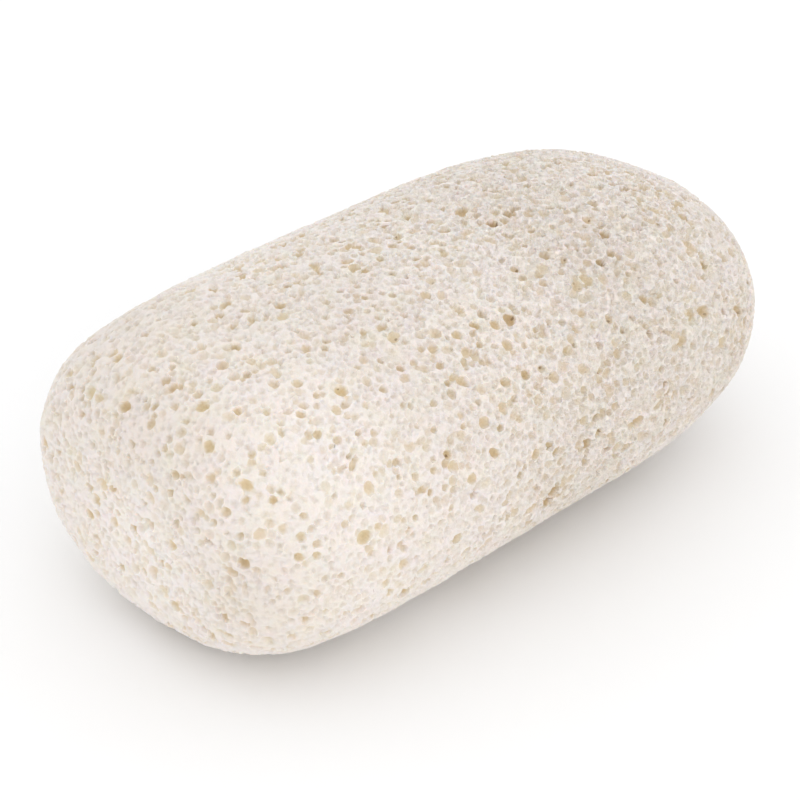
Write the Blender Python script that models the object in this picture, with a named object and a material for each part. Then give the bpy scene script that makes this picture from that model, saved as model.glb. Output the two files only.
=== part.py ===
"""A pumice stone: one tumbled block of volcanic foam, worn to a long rounded loaf.

The block is 100 mm long. It lies on its worn underside at Z 0, with its length along X, and is
one piece of rock. Its largest gas bubbles, cut open by the wear, are real pits in the solid.
Run with: blender --background --python part.py
"""

import math
import random

import bmesh
import bpy
from mathutils import Matrix, Vector

MM = 0.001

# The loaf, in millimetres, before its underside is worn flat.
HALF_LENGTH = 50.0
HALF_WIDTH = 27.8
HALF_HEIGHT = 21.2
UNDERSIDE_WEAR = 1.2  # worn off below, which leaves the flat that the stone rests on
GIRTH_SQUARENESS = 2.28  # the section across the length: 2 is an ellipse, more is squarer
BLUNT_END_SQUARENESS = 5.2  # the end at -X is nearly square in plan
ROUND_END_SQUARENESS = 3.3  # the end at +X is rounder
PLAN_SKEW = -3.3  # sideways shift of the +X end, and the opposite at -X
PLAN_BOW = -1.2  # sideways bend of the length

CUTS_PER_SIDE = 10  # the block starts as a cube, with this many cuts across each side

# The pits lie at random all over the block, first the deep ones and then the shallow ones.
DEEP_PITS, SHALLOW_PITS = 105, 275  # how many of each
SMALLEST_PIT, LARGEST_PIT = 0.9, 1.6  # radius
PIT_GAP = 1.15  # least distance between two pits' middles, in sums of their radii
PIT_SEED = 7
REST_KEEP_OUT = 5.0  # the middle of the underside has no pit this near it

# A pit is the lower part of a bubble, a six-sided ball that is a little longer one way.
PIT_SIDES = 6
DEEP_RINGS, DEEP_SINK = 3, 0.25  # steps down the ball, and how deep its middle lies, in radii
SHALLOW_RINGS, SHALLOW_SINK = 2, -0.2  # the middle of a shallow one is above the surface
PIT_STRETCH = 1.35  # the longest a pit is, in radii


def remove_startup_objects():
    for thing in list(bpy.data.objects):
        bpy.data.objects.remove(thing, do_unlink=True)


def loaf_point(way):
    """Where the ray from the block's middle along this unit vector leaves the plain loaf.

    The loaf is a superellipsoid with one power round its girth and one at each end.
    """
    end = BLUNT_END_SQUARENESS if way.x < 0 else ROUND_END_SQUARENESS
    girth = abs(way.y / HALF_WIDTH) ** GIRTH_SQUARENESS + abs(way.z / HALF_HEIGHT) ** GIRTH_SQUARENESS
    size = girth ** (end / GIRTH_SQUARENESS) + abs(way.x / HALF_LENGTH) ** end
    return way * size ** (-1 / end)


def block_point(way):
    """Where that ray leaves the real block: the loaf with its skew and bow."""
    point = loaf_point(way)
    along = point.x / HALF_LENGTH
    point.y += PLAN_SKEW * along + PLAN_BOW * (along**2 - 1 / 3)
    return point


def worn_below(point):
    """True where the wear of the underside has taken this point off."""
    return point.z < UNDERSIDE_WEAR - HALF_HEIGHT


def surface_at(way):
    """The point and the outward normal of the worn block in this direction from its middle."""
    point = block_point(way)
    if worn_below(point):
        point *= (UNDERSIDE_WEAR - HALF_HEIGHT) / point.z
        return point, Vector((0, 0, -1))
    step = 0.02
    side = way.orthogonal().normalized()
    first = block_point((way + step * side).normalized()) - point
    second = block_point((way + step * way.cross(side)).normalized()) - point
    return point, first.cross(second).normalized()


def chosen_pits():
    """(point, normal, radius) of every pit, drawn at random, each clear of the ones before it."""
    draw = random.Random(PIT_SEED)
    rest_middle = Vector((0, 0, UNDERSIDE_WEAR - HALF_HEIGHT))
    pits = []
    while len(pits) < DEEP_PITS + SHALLOW_PITS:
        # A point drawn evenly in the block's box gives its ends as many pits as its sides.
        way = Vector((draw.uniform(-1, 1), draw.uniform(-1, 1), draw.uniform(-1, 1)))
        way = Vector((way.x * HALF_LENGTH, way.y * HALF_WIDTH, way.z * HALF_HEIGHT)).normalized()
        radius = draw.uniform(SMALLEST_PIT, LARGEST_PIT)
        point, normal = surface_at(way)
        clear = all((point - p).length > PIT_GAP * (radius + r) for p, _, r in pits)
        if clear and (point - rest_middle).length > REST_KEEP_OUT:
            pits.append((point, normal, radius))
    return pits


def make_block(collection):
    """The worn block with no pits: a cube, cut up, pulled out to the block and cut off below."""
    shape = bmesh.new()
    bmesh.ops.create_cube(shape, size=2)
    bmesh.ops.subdivide_edges(shape, edges=shape.edges[:], cuts=CUTS_PER_SIDE, use_grid_fill=True)
    for vert in shape.verts:
        # The tangent spaces the cuts evenly over the rounded shape.
        even = Vector([math.tan(x * math.pi / 4) for x in vert.co])
        reach = Vector((even.x * HALF_LENGTH, even.y * HALF_WIDTH, even.z * HALF_HEIGHT))
        vert.co = block_point(reach.normalized())
    floor = Vector((0, 0, UNDERSIDE_WEAR - HALF_HEIGHT))
    everything = shape.verts[:] + shape.edges[:] + shape.faces[:]
    cut = bmesh.ops.bisect_plane(
        shape, geom=everything, plane_co=floor, plane_no=(0, 0, -1), clear_outer=True
    )
    rim = [item for item in cut["geom_cut"] if isinstance(item, bmesh.types.BMEdge)]
    bmesh.ops.edgenet_fill(shape, edges=rim)
    bmesh.ops.triangulate(shape, faces=shape.faces[:])
    mesh = bpy.data.meshes.new("pumice_stone")
    shape.to_mesh(mesh)
    shape.free()
    block = bpy.data.objects.new("pumice_stone", mesh)
    collection.objects.link(block)
    return block


def make_bubbles(pits, collection):
    """The balls that cut the pits, as one hidden mesh."""
    draw = random.Random(PIT_SEED)
    balls = bmesh.new()
    for number, (point, normal, radius) in enumerate(pits):
        deep = number < DEEP_PITS
        rings, sink = (DEEP_RINGS, DEEP_SINK) if deep else (SHALLOW_RINGS, SHALLOW_SINK)
        turn = normal.to_track_quat("Z", "Y").to_matrix().to_4x4()
        spin = Matrix.Rotation(draw.uniform(0, math.tau), 4, "Z")
        stretch = Matrix.Diagonal((draw.uniform(1, PIT_STRETCH), 1, 1, 1))
        place = Matrix.Translation(point - normal * sink * radius) @ turn @ spin @ stretch
        bmesh.ops.create_uvsphere(
            balls, u_segments=PIT_SIDES, v_segments=rings, radius=radius, matrix=place
        )
    mesh = bpy.data.meshes.new("gas_bubbles")
    balls.to_mesh(mesh)
    balls.free()
    bubbles = bpy.data.objects.new("gas_bubbles", mesh)
    bubbles.hide_render = True
    bubbles.display_type = "WIRE"
    collection.objects.link(bubbles)
    return bubbles


def rest_on_origin(things):
    """Scales the meshes to metres, with the block's box centred over the origin and its foot at Z 0."""
    corners = [vert.co for vert in things[0].data.vertices]
    low = Vector([min(corner[axis] for corner in corners) for axis in range(3)])
    high = Vector([max(corner[axis] for corner in corners) for axis in range(3)])
    foot = Vector(((low.x + high.x) / 2, (low.y + high.y) / 2, low.z))
    for thing in things:
        thing.data.transform(Matrix.Scale(MM, 4) @ Matrix.Translation(-foot))


def pumice():
    """Pale cream volcanic glass foam, with a fully matt, crumbly surface."""
    material = bpy.data.materials.new("pumice")
    material.use_nodes = True
    shader = material.node_tree.nodes["Principled BSDF"]
    shader.inputs["Base Color"].default_value = (0.78, 0.70, 0.60, 1)
    shader.inputs["Roughness"].default_value = 0.95
    shader.inputs["Metallic"].default_value = 0.0
    return material


def main():
    remove_startup_objects()
    stone = bpy.data.collections.new("pumice_stone")
    cutters = bpy.data.collections.new("cutters")
    for collection in (stone, cutters):
        bpy.context.scene.collection.children.link(collection)
    block = make_block(stone)
    bubbles = make_bubbles(chosen_pits(), cutters)
    rest_on_origin([block, bubbles])
    pits = block.modifiers.new("pits", "BOOLEAN")
    pits.operation = "DIFFERENCE"
    pits.object = bubbles
    block.data.materials.append(pumice())


main()
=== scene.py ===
"""A natural pumice stone on a pale studio floor.

The stone is one block of volcanic glass foam, tumbled to a long rounded loaf. Its skin is worked
out from the same form as the solid that it replaces, with every gas bubble that the wear has cut
open. Lengths are in millimetres until they go into a mesh.
"""

import math

import bpy
import numpy as np
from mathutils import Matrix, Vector


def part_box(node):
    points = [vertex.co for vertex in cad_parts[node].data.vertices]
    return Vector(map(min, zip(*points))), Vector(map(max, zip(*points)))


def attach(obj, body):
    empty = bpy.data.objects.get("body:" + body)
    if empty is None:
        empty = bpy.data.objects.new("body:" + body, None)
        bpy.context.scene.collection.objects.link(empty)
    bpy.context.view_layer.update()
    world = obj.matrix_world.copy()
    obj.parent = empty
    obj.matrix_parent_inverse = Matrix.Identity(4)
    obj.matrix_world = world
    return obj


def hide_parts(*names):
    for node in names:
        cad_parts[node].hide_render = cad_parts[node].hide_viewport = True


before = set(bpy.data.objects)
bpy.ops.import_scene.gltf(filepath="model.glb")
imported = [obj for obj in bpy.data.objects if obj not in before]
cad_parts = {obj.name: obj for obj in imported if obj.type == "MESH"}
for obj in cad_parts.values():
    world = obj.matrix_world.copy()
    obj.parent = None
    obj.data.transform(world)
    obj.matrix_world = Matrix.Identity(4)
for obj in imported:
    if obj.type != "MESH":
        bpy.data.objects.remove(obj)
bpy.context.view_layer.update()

MM = 0.001

# ---------------------------------------------------------------------------------------------
# The stone
# One natural lump of pumice, a foam of volcanic glass. Water or a drum has rolled it until its
# corners went, and its skin is nothing but the bubbles that the wear has cut open.
# ---------------------------------------------------------------------------------------------

# Its form: a loaf with one blunt end and one rounder end, slightly skewed, worn flat below.

HALF_LENGTH, HALF_WIDTH, HALF_HEIGHT = 50.0, 27.8, 21.2
UNDERSIDE_WEAR = 1.2  # worn off below
UNDERSIDE_EDGE = 0.4  # how softly the flat underside turns up into the sides
GIRTH_SQUARENESS = 2.28  # the section across the length: 2 is an ellipse, more is squarer
BLUNT_END_SQUARENESS, ROUND_END_SQUARENESS = 5.2, 3.3  # the ends at -X and +X, in plan
PLAN_SKEW, PLAN_BOW = -3.3, -1.2  # sideways shift of the +X end, and sideways bend of the length

GRID_STEP = 0.2  # the skin is worked out on squares of about this size


def box_skin(cells):
    """The skin of a box of cells[0] x cells[1] x cells[2] squares: whole-number places and quads.

    Each of the six sides is a grid of two parameters. Points that sides share are one point.
    """
    places, quads, count = [], [], 0
    for axis in range(3):
        first, second = (axis + 1) % 3, (axis + 2) % 3
        for end in (0, 1):
            u, v = np.meshgrid(np.arange(cells[first] + 1), np.arange(cells[second] + 1), indexing="ij")
            place = np.zeros(u.shape + (3,), np.int64)
            place[..., first], place[..., second], place[..., axis] = u, v, end * cells[axis]
            number = count + np.arange(u.size).reshape(u.shape)
            round_it = [number[:-1, :-1], number[1:, :-1], number[1:, 1:], number[:-1, 1:]]
            quads.append(np.stack(round_it if end else round_it[::-1], -1).reshape(-1, 4))
            places.append(place.reshape(-1, 3))
            count += u.size
    places, quads = np.concatenate(places), np.concatenate(quads)
    key = (places[:, 0] * (cells[1] + 1) + places[:, 1]) * (cells[2] + 1) + places[:, 2]
    _, kept, number = np.unique(key, return_index=True, return_inverse=True)
    return places[kept], number.reshape(-1)[quads]


def loaf(way):
    """Superellipsoid: ((|y|/b)^g + (|z|/c)^g)^(e/g) + (|x|/a)^e = 1, with its own power e at each end."""
    end = np.where(way[:, 0] < 0, BLUNT_END_SQUARENESS, ROUND_END_SQUARENESS)
    x, y, z = np.abs(way / (HALF_LENGTH, HALF_WIDTH, HALF_HEIGHT)).T
    size = (y**GIRTH_SQUARENESS + z**GIRTH_SQUARENESS) ** (end / GIRTH_SQUARENESS) + x**end
    return way * (size ** (-1 / end))[:, None]


def worn_block(way):
    """The loaf, skewed and bowed in plan, and cut off below.

    The cut is a soft one: z = floor + edge * log(1 + e^((z - floor) / edge)).
    """
    point = loaf(way)
    along = point[:, 0] / HALF_LENGTH
    point[:, 1] += PLAN_SKEW * along + PLAN_BOW * (along**2 - 1 / 3)
    floor = UNDERSIDE_WEAR - HALF_HEIGHT
    point[:, 2] = floor + UNDERSIDE_EDGE * np.logaddexp(0, (point[:, 2] - floor) / UNDERSIDE_EDGE)
    return point


def outward(points, quads):
    """The unit normal at each point: the sum of its quads' areas, as cross products of diagonals."""
    corner = points[quads]
    area = np.cross(corner[:, 2] - corner[:, 0], corner[:, 3] - corner[:, 1])
    around = quads.ravel()
    normal = [np.bincount(around, np.repeat(area[:, axis], 4), len(points)) for axis in range(3)]
    normal = np.stack(normal, -1)
    return normal / np.linalg.norm(normal, axis=1)[:, None]


low, high = (np.array(corner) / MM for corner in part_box("pumice_stone"))
cells = np.round((high - low) / GRID_STEP).astype(int)
places, quads = box_skin(cells)
# The tangent spaces the squares evenly over the rounded block.
reach = np.tan((2 * places / cells - 1) * math.pi / 4) * (HALF_LENGTH, HALF_WIDTH, HALF_HEIGHT)
block = worn_block(reach / np.linalg.norm(reach, axis=1)[:, None])
block_low, block_high = block.min(0), block.max(0)


def laid_on_solid(points):
    """Points of the block, moved and scaled so that the block's box becomes the solid's."""
    return low + (points - block_low) * (high - low) / (block_high - block_low)


skin = laid_on_solid(block)
normal = outward(skin, quads)

# Its bubbles: steam froze into the lava as round bubbles, side by side, with thin walls of glass.
# They are cut open at all depths: shallow cups, deep pores, and crumbled walls between.

# The solid's pits are cut wider than real ones, so each sets a smaller bubble's place.
LEAST_PIT_DEPTH, DEEPEST_PIT = 0.65, 2.2  # of a corner of the solid under the skin
PIT_SPACING = 1.9  # a corner this near a deeper one belongs to the same pit
PIT_RADIUS, PIT_RADIUS_GROWTH, WIDEST_PIT = 0.36, 0.16, 0.7  # bubble's radius, by the pit's depth
SUNK_PIT_DEPTH, DEEPEST_PIT_SINK = 0.85, 0.35  # a deeper pit's middle lies under the skin

# The rest is drawn at random: largest and smallest radius, how many are tried, share of deep ones.
BUBBLE_SIZES = (
    (0.95, 0.75, 700, 0.15),
    (0.75, 0.6, 3000, 0.12),
    (0.6, 0.5, 12000, 0.16),
    (0.5, 0.4, 40000, 0.16),
    (0.4, 0.3, 80000, 0.1),
)
BUBBLE_GAP = 0.82  # least distance between two middles, in sums of their radii
SHALLOW, DEEP = (-0.6, -0.05), (-0.05, 0.4)  # how far a middle lies under the skin, in radii
PATCHES, PATCH_SIZE = 0.06, 7.0  # how much that differs from patch to patch, and their width
BLUNT_END_WEAR = 0.1  # how much more of each bubble is worn off at the blunt end, in radii
BLUNT_END_FILL = 0.4  # how much shallower the solid's pits are there, as a share
WORN_FROM, WORN_OVER = 12, 35  # the X where that starts, and the length over which it grows
BUBBLE_STRETCH = 1.4  # the longest bubble, in widths
RIM_REACH = 0.5  # a bubble's rim matters to the skin no further out than this
POROUS_LOOK = (0.7, 1.2)  # how deep a bubble looks, for its depth: its walls are more or less clear
BUBBLE_SEED, PATCH_SEED = 11, 7
WANDER, WANDER_SIZE = 0.14, 1.2  # how far the bubbles' walls stray from a true ball, and how often

# Unevenness of the skin between the bubbles: height, width and seed of each kind.
UNEVENNESS = ((0.05, 0.9, 4), (0.06, 0.45, 5), (0.14, 4.0, 8), (0.16, 9.0, 6))

# Columns of a table of bubbles.
MIDDLE, RADIUS, AXIS, SQUEEZE, LOOKS_DEEP = slice(0, 3), 3, slice(4, 7), 7, 8


def crumble(points, size, seed):
    """Smooth random values, -1 to 1, that change over `size` millimetres.

    Random numbers on a cubic lattice, blended between the eight round each point by 3t^2 - 2t^3.
    """
    lattice = np.random.default_rng(seed).uniform(-1, 1, (64, 64, 64))
    low_corner = np.floor(points / size).astype(int)
    part = points / size - low_corner
    part = part * part * (3 - 2 * part)
    value = np.zeros(len(points))
    for corner in np.ndindex(2, 2, 2):
        weight = np.prod(np.where(corner, part, 1 - part), axis=1)
        i, j, k = ((low_corner + corner) % 64).T
        value += weight * lattice[i, j, k]
    return value


def pairs_within(points, centres, reach):
    """Pairs (point number, centre number) in the same or the next cube of side `reach`.

    The points are sorted by a key for their cube, so that each cube's points are one stretch.
    """
    cube = np.floor((points - points.min(0)) / reach).astype(np.int64) + 1
    home = np.floor((centres - points.min(0)) / reach).astype(np.int64) + 1
    places = np.array([1, 1 << 20, 1 << 40])
    order = np.argsort(cube @ places, kind="stable")
    keys = (cube @ places)[order]
    for step in np.ndindex(3, 3, 3):
        wanted = (home + step - 1) @ places
        first, last = np.searchsorted(keys, wanted), np.searchsorted(keys, wanted, "right")
        count = last - first
        centre = np.repeat(np.arange(len(centres)), count)
        place = np.arange(count.sum()) - np.repeat(np.cumsum(count) - count - first, count)
        yield order[place], centre


def solid_pits():
    """The solid's pits: the depth of each, and the number of the skin point above it.

    A pit's foot is a corner of the solid deep under the skin, with no deeper corner near it.
    """
    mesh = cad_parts["pumice_stone"].data
    corner = np.empty(len(mesh.vertices) * 3, np.float32)
    mesh.vertices.foreach_get("co", corner)
    corner = np.unique(np.round(corner.reshape(-1, 3) / MM, 3), axis=0).astype(float)
    depth, above = np.full(len(corner), np.inf), np.zeros(len(corner), int)
    for point, number in pairs_within(skin, corner, DEEPEST_PIT):
        away = np.linalg.norm(skin[point] - corner[number], axis=1)
        np.minimum.at(depth, number, away)
        nearest = away == depth[number]
        above[number[nearest]] = point[nearest]
    low_down = depth > LEAST_PIT_DEPTH
    corner, depth, above = corner[low_down], depth[low_down], above[low_down]
    away = np.linalg.norm(corner[:, None] - corner[None], axis=2)
    foot = (np.where(away < PIT_SPACING, depth, 0) <= depth[:, None]).all(1)
    return depth[foot], above[foot]


def bluntness(points):
    """How near the more worn end: 0 from the middle to the round end, 1 at the blunt end."""
    return np.clip((WORN_FROM - points[:, 0]) / WORN_OVER, 0, 1)


def placed_bubbles():
    """The bubbles of the solid's pits: middle, radius and depth of each."""
    depth, above = solid_pits()
    radius = np.minimum(PIT_RADIUS + PIT_RADIUS_GROWTH * depth, WIDEST_PIT)
    sink = np.clip(depth - SUNK_PIT_DEPTH, 0, DEEPEST_PIT_SINK)
    sink *= radius * (1 - BLUNT_END_FILL * bluntness(skin[above]))
    middle = skin[above] - normal[above] * sink[:, None]
    return zip(middle.tolist(), radius.tolist(), (radius + sink).tolist())


def scatter_bubbles(first):
    """The first bubbles, and others drawn at random in the skin, each clear of the ones before it.

    Each is a row: its middle, its radius, the axis that it is drawn out along, how much pressing
    along that axis makes it a ball again, and how deep it looks.
    """
    draw = np.random.default_rng(BUBBLE_SEED)
    cell = 2 * BUBBLE_SIZES[0][0]
    taken, rows = {}, []

    def put(middle, radius, deepest):
        home = tuple(int(x // cell) for x in middle)
        taken.setdefault(home, []).append((middle, radius))
        rows.append((*middle, radius, deepest))

    for middle, radius, deepest in first:
        put(middle, radius, deepest)
    for largest, smallest, tries, deep_share in BUBBLE_SIZES:
        spots = draw.integers(0, len(skin), tries)
        radii = np.sort(draw.uniform(smallest, largest, tries))[::-1]
        deep = draw.uniform(size=tries) < deep_share
        sinks = np.where(deep, draw.uniform(*DEEP, tries), draw.uniform(*SHALLOW, tries))
        sinks -= BLUNT_END_WEAR * bluntness(skin[spots])
        sinks -= PATCHES * crumble(skin[spots], PATCH_SIZE, PATCH_SEED)
        sinks *= radii
        middles = skin[spots] - normal[spots] * sinks[:, None]
        for middle, radius, deepest in zip(middles.tolist(), radii.tolist(), (radii + sinks).tolist()):
            home = [int(x // cell) for x in middle]
            near = []
            for i, j, k in np.ndindex(3, 3, 3):
                near += taken.get((home[0] + i - 1, home[1] + j - 1, home[2] + k - 1), ())
            if all(math.dist(middle, other) > BUBBLE_GAP * (radius + r) for other, r in near):
                put(middle, radius, deepest)
    rows = np.array(rows)
    rows[:, 4] *= draw.uniform(*POROUS_LOOK, len(rows))
    axis = draw.normal(size=(len(rows), 3))
    axis /= np.linalg.norm(axis, axis=1)[:, None]
    squeeze = 1 / draw.uniform(1, BUBBLE_STRETCH, (len(rows), 1)) - 1
    return np.concatenate([rows[:, :4], axis, squeeze, rows[:, 4:]], 1)


def pressed(vectors, bubbles):
    """The vectors once each bubble is pressed along its axis to a ball: v + a (v.a) (1/k - 1)."""
    axis = bubbles[:, AXIS]
    return vectors + axis * ((vectors * axis).sum(1) * bubbles[:, SQUEEZE])[:, None]


def bubble_depth(points, inward, bubbles):
    """How far in from each point the rock is gone: the far wall of the deepest bubble cut there.

    A ray from the point o, along the way in d, leaves a bubble of radius r round the middle m at
    t = (-b + sqrt(b^2 - a c)) / a, with a = d.d, b = (o-m).d and c = |o-m|^2 - r^2.
    """
    depth = np.zeros(len(points))
    reach = bubbles[:, RADIUS].max() * BUBBLE_STRETCH
    for point, number in pairs_within(points, bubbles[:, MIDDLE], reach):
        bubble = bubbles[number]
        start = pressed(points[point] - bubble[:, MIDDLE], bubble)
        c = (start * start).sum(1) - bubble[:, RADIUS] ** 2
        cut = c < 0
        point, start, c, bubble = point[cut], start[cut], c[cut], bubble[cut]
        step = pressed(inward[point], bubble)
        a, b = (step * step).sum(1), (start * step).sum(1)
        np.maximum.at(depth, point, (-b + np.sqrt(b * b - a * c)) / a)
    return depth


def nearest_rim(points, bubbles):
    """How far each point is outside the nearest bubble (inside: below 0), and how deep that looks.

    The distance is |o-m| - r once the bubble is pressed to a ball of radius r round m.
    """
    edge, pore = np.full(len(points), RIM_REACH), np.zeros(len(points))
    reach = bubbles[:, RADIUS].max() * BUBBLE_STRETCH
    for point, number in pairs_within(points, bubbles[:, MIDDLE], reach):
        bubble = bubbles[number]
        away = np.linalg.norm(pressed(points[point] - bubble[:, MIDDLE], bubble), axis=1)
        away -= bubble[:, RADIUS]
        near = away < edge[point]
        point, away, bubble = point[near], away[near], bubble[near]
        np.minimum.at(edge, point, away)
        nearest = away == edge[point]
        pore[point[nearest]] = bubble[nearest, LOOKS_DEEP]
    return edge, pore


def wander(points):
    """The points, each moved a little, so that the bubbles are not quite round."""
    return points + WANDER * np.stack([crumble(points, WANDER_SIZE, seed) for seed in (1, 2, 3)], -1)


bubbles = scatter_bubbles(placed_bubbles())
depth = bubble_depth(wander(skin), -normal, bubbles)
depth += sum(height * crumble(skin, width, seed) for height, width, seed in UNEVENNESS)
rock = skin - normal * depth[:, None]
rock[:, 2] = np.maximum(rock[:, 2], low[2])

# Its mesh: the worn block with its bubbles cut open, as one closed skin, thinned out where it is
# smooth. Each corner keeps what the stone's colours depend on.

ROCK_TRIANGLES = 198000
SHARP_ANGLE = math.radians(60)  # a bubble's rim is broken glass, and stays sharp

# Broad pale and stained places, spread at random: the strongest, as a share, and their width.
STAINING, STAIN_WIDTH, STAIN_SEED = 0.08, 18.0, 3


def new_attribute(mesh, name, values):
    """Puts a number or a vector for each corner into the mesh."""
    kind, field = ("FLOAT_VECTOR", "vector") if values.ndim == 2 else ("FLOAT", "value")
    mesh.attributes.new(name, kind, "POINT").data.foreach_set(field, values.astype(np.float32).ravel())


def vectors(data, field):
    """One vector of each corner, as an array of rows."""
    values = np.empty(len(data) * 3, np.float32)
    data.foreach_get(field, values)
    return values.reshape(-1, 3).astype(float)


mesh = bpy.data.meshes.new("pumice_foam")
mesh.vertices.add(len(rock))
mesh.vertices.foreach_set("co", (rock * MM).astype(np.float32).ravel())
mesh.loops.add(quads.size)
mesh.loops.foreach_set("vertex_index", quads.ravel().astype(np.int32))
mesh.polygons.add(len(quads))
mesh.polygons.foreach_set("loop_start", np.arange(0, quads.size, 4, dtype=np.int32))
mesh.update(calc_edges=True)
mesh.polygons.foreach_set("use_smooth", np.ones(len(quads), bool))
new_attribute(mesh, "rest", skin)
new_attribute(mesh, "outward", normal)
foam = bpy.data.objects.new("pumice_foam", mesh)
bpy.context.scene.collection.objects.link(foam)

thin = foam.modifiers.new("thin", "DECIMATE")
thin.ratio = ROCK_TRIANGLES / (2 * len(quads))
thinned = foam.evaluated_get(bpy.context.evaluated_depsgraph_get())
foam.data = bpy.data.meshes.new_from_object(thinned)
foam.modifiers.clear()
bpy.data.meshes.remove(mesh)
mesh = foam.data
mesh.name = "pumice_foam"

# Each corner's place in the skin (rest) is the one straight above it. Then come how far it is
# from the nearest bubble's rim (edge), how deep that bubble looks (pore) and its own depth (sunk).
corner = vectors(mesh.vertices, "co") / MM
corner[:, 2] = np.maximum(corner[:, 2], low[2])
mesh.vertices.foreach_set("co", (corner * MM).astype(np.float32).ravel())
up = vectors(mesh.attributes["outward"].data, "vector")
up /= np.linalg.norm(up, axis=1)[:, None]
rest = vectors(mesh.attributes["rest"].data, "vector")
sunk = ((rest - corner) * up).sum(1)
rest = corner + up * sunk[:, None]
edge, pore = nearest_rim(wander(rest), bubbles)
stain = STAINING * crumble(rest, STAIN_WIDTH, STAIN_SEED)
for name in ("rest", "outward"):
    mesh.attributes.remove(mesh.attributes[name])
for name, values in zip(("rest", "edge", "pore", "sunk", "stain"), (rest, edge, pore, sunk, stain)):
    new_attribute(mesh, name, values)
mesh.set_sharp_from_angle(angle=SHARP_ANGLE)

# Its material: volcanic glass foam, broken and rubbed but never polished. The eye sees it matt and
# dusty, with thin walls almost white, cream ground between, and tan to golden hollows. Part of that
# light and shade is painted into the colour: highlights on rims and shards, shade in pores and hollows.

# The rim colour is partly the paler thin glass of the walls, partly a painted highlight where the edges
# catch the light.
GROUND, PALE_RIM_AND_HIGHLIGHT = "#e4dcd5", "#eee6e0"
# Painted shade in the small hollows that are too small for the mesh.
SMALL_HOLLOW_SHADE = "#dad0c3"
# Painted shade in the pores: darker and warmer the deeper they look, as the light bounced inside them is.
PAINTED_PORE_SHADE = (  # inside a pore, by how deep it looks
    (0.08, "#e6ded6"),
    (0.27, "#e2d9d0"),
    (0.45, "#dccfbd"),
    (0.7, "#d3c1a3"),
    (0.95, "#cbb490"),
)
# Painted warmer shade in the pores at the blunt end.
WARM_PORE_SHADE = "#fffbee"  # multiplies the colour of the pores at the blunt end
# Painted shade: the dark of a small hole that the mesh does not have.
THROAT_SHADE = "#7d5f3a"

# How far outside a bubble its wall is still whole, and how far inside it the cup begins.
WALL, CUP = 0.02, -0.05
RIM_WIDTH = 0.17
LIP = (0.04, -0.1)  # from where to where the skin steps down into a bubble

# Bubbles too small to cut into the mesh: their spacing, and their radii in spacings.
SMALL_BUBBLES = (1.0, 0.32, 0.58)
SMALLER_BUBBLES, SMALLER_SHARE = (0.5, 0.32, 0.6), 0.6
SWAY, SWAY_SIZE = 0.35, 0.7  # how far they stray from round, and over what width
THROAT_SPACING = 0.9
PATCH_WIDTH = 3.0
# The real shards of the broken walls are under 0.05 mm. They are drawn as coarse as shows.
SHARD_SIZE = 0.25

# How high each kind of fine relief stands, in millimetres.
SMALL_HOLLOW_RELIEF, SMALL_RIM_RELIEF, SHARD_RELIEF, LIP_RELIEF = -0.13, 0.05, 0.07, -0.12


def linear(hex_colour):
    """An sRGB hex colour as linear red, green, blue and alpha."""
    parts = [int(hex_colour[i : i + 2], 16) / 255 for i in (1, 3, 5)]
    return [p / 12.92 if p <= 0.04045 else ((p + 0.055) / 1.055) ** 2.4 for p in parts] + [1.0]


pumice = bpy.data.materials.new("pumice")
pumice.use_nodes = True
tree = pumice.node_tree


def add(kind, inputs, output=0, **settings):
    """Adds a node, with its inputs set or linked, and gives one of its outputs."""
    node = tree.nodes.new("ShaderNode" + kind)
    for name, value in settings.items():
        setattr(node, name, value)
    for socket, value in inputs.items():
        if isinstance(value, bpy.types.NodeSocket):
            tree.links.new(node.inputs[socket], value)
        else:
            node.inputs[socket].default_value = value
    return node.outputs[output]


rest = add("Attribute", {}, "Vector", attribute_name="rest")
edge = add("Attribute", {}, "Fac", attribute_name="edge")
pore = add("Attribute", {}, "Fac", attribute_name="pore")
sunk = add("Attribute", {}, "Fac", attribute_name="sunk")
stain = add("Attribute", {}, "Fac", attribute_name="stain")
along = add("SeparateXYZ", {0: rest})

# The blunt end is rubbed smoother than the rest: its small bubbles, rims, lips and painted glints
# are fainter, its painted pore shade is lighter, and the painted shade in its pores is warmer.
fresh = add("MapRange", {0: along, "From Min": -45.0, "From Max": 15.0, "To Min": 0.15, "To Max": 1.4})
crisp = add("MapRange", {0: along, "From Min": -45.0, "From Max": 0.0, "To Min": 0.35, "To Max": 1.0})
clear = add("MapRange", {0: along, "From Min": -50.0, "From Max": -8.0, "To Min": 0.65, "To Max": 1.0})
warm_shade_end = add("MapRange", {0: along, "From Min": -40.0, "From Max": 5.0, "To Min": 1.0, "To Max": 0.0})

# Where the skin lies inside a bubble, and the pale rim round it, brighter round a deep one: partly
# the paler thin glass of the wall, partly a painted highlight where the edge catches the light.
inside = add("MapRange", {0: edge, "From Min": WALL, "From Max": CUP})
rim = add(
    "MapRange",
    {0: edge, "From Min": WALL, "From Max": RIM_WIDTH, "To Min": 1.0, "To Max": 0.0},
    interpolation_type="SMOOTHSTEP",
)
rim_highlight_strength = add(
    "MapRange",
    {0: pore, "From Min": 0.2, "From Max": 0.7, "To Min": 0.6, "To Max": 1.0},
    interpolation_type="SMOOTHSTEP",
)
rim = add("Math", {0: rim, 1: rim_highlight_strength}, operation="MULTIPLY")
rim = add("Math", {0: rim, 1: crisp}, operation="MULTIPLY")

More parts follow.
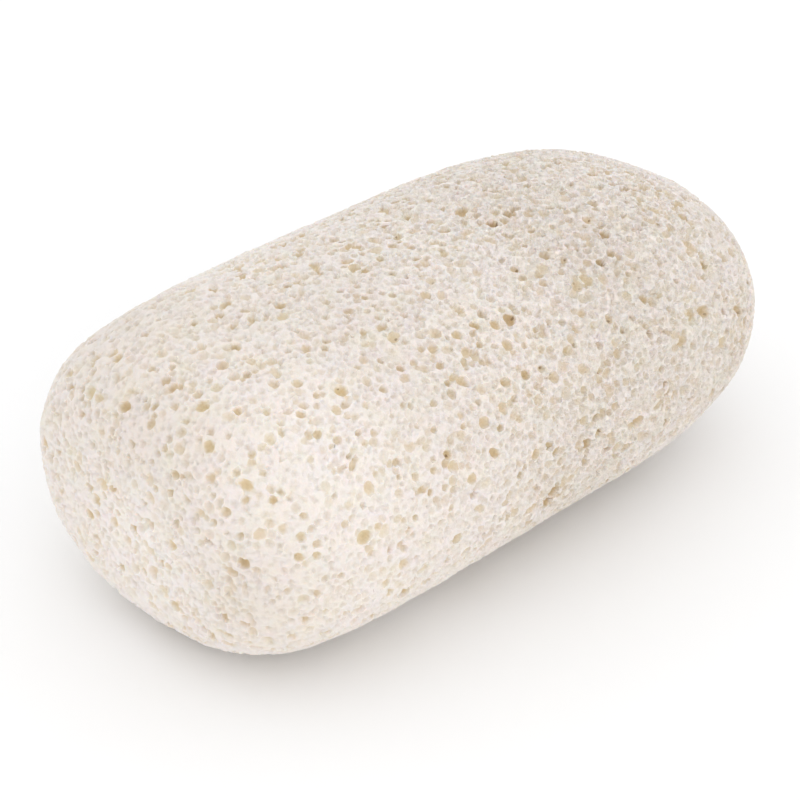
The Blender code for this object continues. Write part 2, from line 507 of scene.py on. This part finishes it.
# The small bubbles fade inside a deep pore, whose walls are smooth.
smooth_walls = add(
    "MapRange",
    {0: pore, "From Min": 0.25, "From Max": 0.8, "To Min": 1.0, "To Max": 0.25},
    interpolation_type="SMOOTHSTEP",
)
show = add("MapRange", {0: inside, "To Min": 1.0, "To Max": smooth_walls})
show = add("Math", {0: show, 1: fresh}, operation="MULTIPLY")
sway = add("TexNoise", {"Vector": rest, "Scale": 1 / SWAY_SIZE, "Detail": 0.0}, "Color")
swayed = add("VectorMath", {0: sway, 1: (SWAY, SWAY, SWAY), 2: rest}, operation="MULTIPLY_ADD")


def small_bubbles(spacing, smallest, largest):
    """Balls of random radius round scattered middles, cut by the skin: (hollow, rim, chance).

    The hollow is 1 - (distance / radius)^2, and the rim a ring just outside the ball.
    """
    away = add("TexVoronoi", {"Vector": swayed, "Scale": 1 / spacing}, "Distance", feature="F1")
    chance = add("SeparateColor", {0: away.node.outputs["Color"]})
    radius = add("MapRange", {0: chance, "To Min": smallest, "To Max": largest})
    out = add("Math", {0: away, 1: radius}, operation="DIVIDE")
    squared = add("Math", {0: out, 1: 2.0}, operation="POWER")
    hollow = add("MapRange", {0: squared, "To Min": 1.0, "To Max": 0.0})
    rise = add("MapRange", {0: out, "From Min": 0.88, "From Max": 1.04}, interpolation_type="SMOOTHSTEP")
    fall = add("MapRange", {0: out, "From Min": 1.4, "From Max": 1.08}, interpolation_type="SMOOTHSTEP")
    ring = add("Math", {0: rise, 1: fall}, operation="MULTIPLY")
    return hollow, ring, chance.node.outputs[1]


hollow, small_rim, chance = small_bubbles(*SMALL_BUBBLES)
smaller_hollow, smaller_rim, _ = small_bubbles(*SMALLER_BUBBLES)
openness = add("MapRange", {0: chance, "To Min": 0.4, "To Max": 1.0}, interpolation_type="SMOOTHSTEP")
hollow = add("Math", {0: hollow, 1: openness}, operation="MULTIPLY")
smaller_hollow = add("Math", {0: smaller_hollow, 1: SMALLER_SHARE}, operation="MULTIPLY")
smaller_rim = add("Math", {0: smaller_rim, 1: SMALLER_SHARE}, operation="MULTIPLY")
hollow = add("Math", {0: hollow, 1: smaller_hollow}, operation="MAXIMUM")
small_rim = add("Math", {0: small_rim, 1: smaller_rim}, operation="MAXIMUM")
hollow = add("Math", {0: hollow, 1: show}, operation="MULTIPLY")
small_rim = add("Math", {0: small_rim, 1: show}, operation="MULTIPLY")

# How deep the place looks: partly its own depth, partly its pore's. The deeper it looks, the darker
# and warmer the painted shade.
deepness = add("Math", {0: sunk, 1: 0.45}, operation="MULTIPLY")
deepness = add("Math", {0: pore, 1: 0.55, 2: deepness}, operation="MULTIPLY_ADD")
deepness = add("Math", {0: deepness, 1: clear}, operation="MULTIPLY")
pore_shade = add("ValToRGB", {"Fac": deepness})
marks = pore_shade.node.color_ramp.elements
marks.remove(marks[1])
marks[0].position, marks[0].color = PAINTED_PORE_SHADE[0][0], linear(PAINTED_PORE_SHADE[0][1])
for looks_deep, colour in PAINTED_PORE_SHADE[1:]:
    marks.new(looks_deep).color = linear(colour)

# The colour, layer by layer. In a Mix node for colours, 6 and 7 are A and B, and 2 is the result.
# Ground, then the pale rim with its painted highlight.
colour = add("Mix", {0: rim, 6: linear(GROUND), 7: linear(PALE_RIM_AND_HIGHLIGHT)}, 2, data_type="RGBA")
# Painted shade inside the bubbles, by how deep they look.
colour = add("Mix", {0: inside, 6: colour, 7: pore_shade}, 2, data_type="RGBA")

# Here and there another bubble opens in the wall of a deep pore, as a small dark throat: the hole
# is not in the mesh, so its shade is painted in dark brown.
throat = add("TexVoronoi", {"Vector": rest, "Scale": 1 / THROAT_SPACING}, "Distance", feature="F1")
throat_chance = add("SeparateColor", {0: throat.node.outputs["Color"]})
throat = add("MapRange", {0: throat, "From Min": 0.27, "From Max": 0.15}, interpolation_type="SMOOTHSTEP")
throat_chance = add("MapRange", {0: throat_chance, "From Min": 0.45, "From Max": 0.8})
throat_depth = add("MapRange", {0: deepness, "From Min": 0.42, "From Max": 0.65})
throat = add("Math", {0: throat, 1: throat_chance}, operation="MULTIPLY")
throat = add("Math", {0: throat, 1: throat_depth}, operation="MULTIPLY")
throat = add("Math", {0: throat, 1: inside}, operation="MULTIPLY")
throat = add("Math", {0: throat, 1: 0.75}, operation="MULTIPLY")
colour = add("Mix", {0: throat, 6: colour, 7: linear(THROAT_SHADE)}, 2, data_type="RGBA")

# Painted warmer shade in the deeper pores towards the blunt end.
warm_shade_share = add("MapRange", {0: pore, "From Min": 0.3, "From Max": 0.75})
warm_shade_share = add("Math", {0: warm_shade_share, 1: warm_shade_end}, operation="MULTIPLY")
warm_shade_share = add("Math", {0: warm_shade_share, 1: inside}, operation="MULTIPLY")
colour = add("Mix", {0: warm_shade_share, 6: colour, 7: linear(WARM_PORE_SHADE)}, 2, data_type="RGBA", blend_type="MULTIPLY")
# Painted shade in the small hollows, and on their rims a painted highlight that is partly paler glass.
hollow_shade_share = add("Math", {0: hollow, 1: 0.6}, operation="MULTIPLY")
colour = add("Mix", {0: hollow_shade_share, 6: colour, 7: linear(SMALL_HOLLOW_SHADE)}, 2, data_type="RGBA")
small_rim_highlight_share = add("Math", {0: small_rim, 1: 0.6}, operation="MULTIPLY")
colour = add("Mix", {0: small_rim_highlight_share, 6: colour, 7: linear(PALE_RIM_AND_HIGHLIGHT)}, 2, data_type="RGBA")

# The glass is a little greyer here and yellower there, over small patches and over broad stains.
patches = add("TexNoise", {"Vector": rest, "Scale": 1 / PATCH_WIDTH, "Detail": 1.0}, "Color")
patches = add(
    "VectorMath", {0: patches, 1: (0.045, 0.045, 0.13), 2: (0.976, 0.976, 0.93)}, operation="MULTIPLY_ADD"
)
colour = add("VectorMath", {0: patches, 1: colour}, operation="MULTIPLY")
staining = add("VectorMath", {0: stain, 1: (0.85, 1.0, 1.25), 2: (1.0, 1.0, 1.0)}, operation="MULTIPLY_ADD")
colour = add("VectorMath", {0: staining, 1: colour}, operation="MULTIPLY")

# Painted glints and shade: shards of glass are drawn lighter or darker than the ground, as if by
# how they lie to the light.
shards = add("TexNoise", {"Vector": rest, "Scale": 1 / SHARD_SIZE, "Detail": 1.0, "Roughness": 0.6})
shard_glint_and_shade = add("Math", {0: shards, 1: 0.24, 2: 0.88}, operation="MULTIPLY_ADD")
shard_glint_and_shade = add("Mix", {0: crisp, 2: 1.0, 3: shard_glint_and_shade})
colour = add("VectorMath", {0: colour, "Scale": shard_glint_and_shade}, operation="SCALE")

# The fine relief: small hollows, their rims, shards, and the steep lip of each pore.
relief = add("Math", {0: hollow, 1: SMALL_HOLLOW_RELIEF}, operation="MULTIPLY")
relief = add("Math", {0: shards, 1: SHARD_RELIEF, 2: relief}, operation="MULTIPLY_ADD")
relief = add("Math", {0: small_rim, 1: SMALL_RIM_RELIEF, 2: relief}, operation="MULTIPLY_ADD")
lip = add("MapRange", {0: edge, "From Min": LIP[0], "From Max": LIP[1]}, interpolation_type="SMOOTHSTEP")
lip_strength = add(
    "MapRange",
    {0: pore, "From Min": 0.2, "From Max": 0.6, "To Min": 0.25, "To Max": 1.0},
    interpolation_type="SMOOTHSTEP",
)
lip = add("Math", {0: lip, 1: lip_strength}, operation="MULTIPLY")
lip = add("Math", {0: lip, 1: crisp}, operation="MULTIPLY")
relief = add("Math", {0: lip, 1: LIP_RELIEF, 2: relief}, operation="MULTIPLY_ADD")
bump = add("Bump", {"Height": relief, "Distance": MM, "Strength": 1.0})

shader = tree.nodes["Principled BSDF"]
tree.links.new(shader.inputs["Base Color"], colour)
tree.links.new(shader.inputs["Normal"], bump)
shader.inputs["Roughness"].default_value = 0.9
shader.inputs["IOR"].default_value = 1.5
shader.inputs["Specular IOR Level"].default_value = 0.2
# Fine dust on the skin pales it where it turns away.
shader.inputs["Sheen Weight"].default_value = 0.1
shader.inputs["Sheen Roughness"].default_value = 0.5
# The walls of glass are thin enough for light to go through the nearest ones.
shader.inputs["Subsurface Weight"].default_value = 0.6
shader.inputs["Subsurface Radius"].default_value = (1.0, 0.8, 0.6)
shader.inputs["Subsurface Scale"].default_value = 0.28 * MM
mesh.materials.append(pumice)

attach(foam, "root")
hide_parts("pumice_stone")

# ---------------------------------------------------------------------------------------------
# The studio
# A sheet of white paper to stand on, white light from all round, and one large soft lamp low in
# front, which fills the side that faces the camera.
# ---------------------------------------------------------------------------------------------

PAPER = "#f9f9f9"
PAPER_SIZE = 4
SKY, SKY_STRENGTH = (0.997, 1.0, 1.006, 1.0), 1.09
LAMP_PLACE, LAMP_SIZE, LAMP_WATTS, LAMP_COLOUR = (-0.3, -0.85, 0.3), 0.7, 1.15, (1.0, 0.97, 0.93)
LAMP_AIM = Vector((0, 0, 0.02))  # the middle of the stone

bpy.ops.mesh.primitive_plane_add(size=PAPER_SIZE)
floor = bpy.context.object
floor.name = "studio_floor"
paper = bpy.data.materials.new("white_paper")
paper.use_nodes = True
paper.node_tree.nodes["Principled BSDF"].inputs["Base Color"].default_value = linear(PAPER)
paper.node_tree.nodes["Principled BSDF"].inputs["Roughness"].default_value = 1.0
floor.data.materials.append(paper)

world = bpy.data.worlds.new("studio")
world.use_nodes = True
world.node_tree.nodes["Background"].inputs["Color"].default_value = SKY
world.node_tree.nodes["Background"].inputs["Strength"].default_value = SKY_STRENGTH
bpy.context.scene.world = world

softbox = bpy.data.lights.new("softbox", "AREA")
softbox.shape, softbox.size, softbox.energy = "SQUARE", LAMP_SIZE, LAMP_WATTS
softbox.color = LAMP_COLOUR
lamp = bpy.data.objects.new("softbox", softbox)
lamp.location = LAMP_PLACE
lamp.rotation_euler = (LAMP_AIM - lamp.location).to_track_quat("-Z", "Y").to_euler()
bpy.context.scene.collection.objects.link(lamp)

# The camera looks down at the blunt end and the front, from about a third of a metre.
CAMERA_TURN, CAMERA_RISE = math.radians(-46.4), math.radians(34.63)
CAMERA_TARGET, CAMERA_DISTANCE = Vector((-0.0033, 0.0005, 0.0169)), 0.3178
LENS, SENSOR = 104.4, 36
camera = bpy.data.cameras.new("camera")
camera.lens, camera.sensor_width = LENS, SENSOR
eye = bpy.data.objects.new("camera", camera)
back = Vector(
    (
        math.sin(CAMERA_TURN) * math.cos(CAMERA_RISE),
        -math.cos(CAMERA_TURN) * math.cos(CAMERA_RISE),
        math.sin(CAMERA_RISE),
    )
)
eye.location = CAMERA_TARGET + back * CAMERA_DISTANCE
eye.rotation_euler = (-back).to_track_quat("-Z", "Y").to_euler()
bpy.context.scene.collection.objects.link(eye)
bpy.context.scene.camera = eye
bpy.context.scene.view_settings.view_transform = "Standard"
